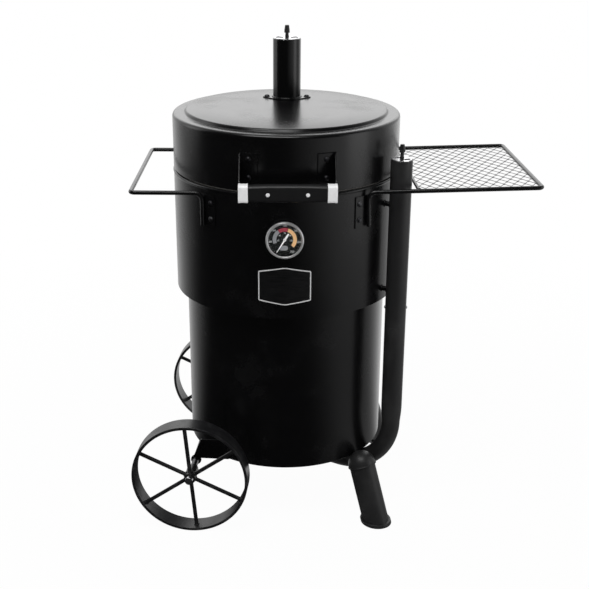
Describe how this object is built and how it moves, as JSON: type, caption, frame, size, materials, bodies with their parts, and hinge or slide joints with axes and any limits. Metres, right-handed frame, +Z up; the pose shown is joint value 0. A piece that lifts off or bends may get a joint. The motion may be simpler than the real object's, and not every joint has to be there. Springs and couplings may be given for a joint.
{
  "type": "vertical drum smoker",
  "caption": "Upright steel drum smoker with hinged lid and chimney stack, side air-intake pipe with damper, wire shelf, loop handle, wagon wheels and splayed legs.",
  "frame": {"origin": "centre of the whole object's footprint, on the ground that it stands on", "axes": "+Z up, -Y towards the front with the lid handle and thermometer, +X towards the wire shelf"},
  "size_m": [0.9487, 0.6754, 1.159],
  "materials": {
    "black_paint": "semi-gloss black high-heat powder coat",
    "dark_steel": "dark plain steel",
    "zinc": "zinc plated",
    "bright_steel": "polished steel",
    "gasket_felt": "woven high-heat felt",
    "plate_metal": "black plate with a bright edge",
    "dial_face": "printed matt dial",
    "dial_glass": "clear flat glass",
    "needle_white": "white paint",
    "knob_black": "black moulded phenolic",
    "grip_black": "black lacquered grip",
    "grate_steel": "plain steel bars",
    "hot_iron": "dark heat-treated sheet steel"
  },
  "bodies": {
    "drum": {"upper_drum": "black_paint", "lower_drum": "black_paint", "step_ring": "black_paint", "rim_gasket": "gasket_felt", "name_plate": "plate_metal", "gauge_case": "black_paint", "gauge_bezel": "bright_steel", "gauge_dial": "dial_face", "gauge_lens": "dial_glass", "gauge_stem": "zinc", "intake_pipe": "black_paint", "intake_lower": "black_paint", "intake_elbow": "black_paint", "pipe_standoffs": "black_paint", "pipe_screws": "zinc", "intake_cap": "zinc", "left_handle": "black_paint", "shelf_frame": "black_paint", "shelf_mesh": "black_paint", "rod_brackets": "black_paint", "drum_bolts": "zinc", "leg_sockets": "black_paint", "front_leg": "black_paint", "rear_leg": "black_paint", "feet": "black_paint", "axle": "dark_steel", "axle_brackets": "black_paint", "axle_caps": "zinc", "hinge_drum_leaf": "black_paint", "hinge_pin": "zinc", "cooking_grate": "grate_steel", "grate_brackets": "black_paint", "heat_deflector": "hot_iron", "hanger_bars": "grate_steel", "hanger_brackets": "black_paint", "charcoal_basket": "hot_iron", "basket_feet": "hot_iron", "charcoal_grate": "hot_iron", "ash_pan": "hot_iron"},
    "lid": {"lid_shell": "black_paint", "hinge_lid_leaf": "black_paint", "lid_bolts": "zinc", "handle_brackets": "black_paint", "handle_grip": "grip_black", "handle_ferrules": "bright_steel", "handle_screws": "bright_steel", "stack_tube": "black_paint", "stack_flange": "black_paint", "stack_cap": "zinc"},
    "stack_damper": {"stack_damper_plate": "bright_steel", "stack_knob": "knob_black"},
    "intake_damper": {"intake_damper_plate": "bright_steel", "intake_knob": "knob_black"},
    "front_wheel": {"front_wheel_rim": "black_paint", "front_wheel_spokes": "black_paint"},
    "rear_wheel": {"rear_wheel_rim": "black_paint", "rear_wheel_spokes": "black_paint"},
    "needle": {"gauge_needle": "needle_white"},
    "bail": {"basket_bail": "hot_iron"}
  },
  "joints": [
    {"name": "lid_hinge", "type": "hinge", "parent": "drum", "child": "lid", "pos_m": [-0.10591, 0.29097, 0.846], "axis": [-1, 0, 0], "range_deg": [0, 95]},
    {"name": "stack_damper_turn", "type": "hinge", "parent": "lid", "child": "stack_damper", "pos_m": [-0.10591, 0.10797, 1.128], "axis": [0, 0, 1], "range_deg": [0, 90]},
    {"name": "intake_damper_turn", "type": "hinge", "parent": "drum", "child": "intake_damper", "pos_m": [0.15639, -0.14963, 0.898], "axis": [0, 0, 1], "range_deg": [0, 90]},
    {"name": "front_wheel_spin", "type": "hinge", "parent": "drum", "child": "front_wheel", "pos_m": [-0.3321, -0.25975, 0.141], "axis": [0.0802, 0.9968, 0], "continuous": true},
    {"name": "rear_wheel_spin", "type": "hinge", "parent": "drum", "child": "rear_wheel", "pos_m": [-0.28639, 0.30841, 0.141], "axis": [0.0802, 0.9968, 0], "continuous": true},
    {"name": "needle_turn", "type": "hinge", "parent": "drum", "child": "needle", "pos_m": [-0.10591, -0.26033, 0.744], "axis": [0, -1, 0], "range_deg": [-298, 0]},
    {"name": "bail_swing", "type": "hinge", "parent": "drum", "child": "bail", "pos_m": [-0.10591, 0.00797, 0.325], "axis": [-1, 0, 0], "range_deg": [0, 200]}
  ]
}
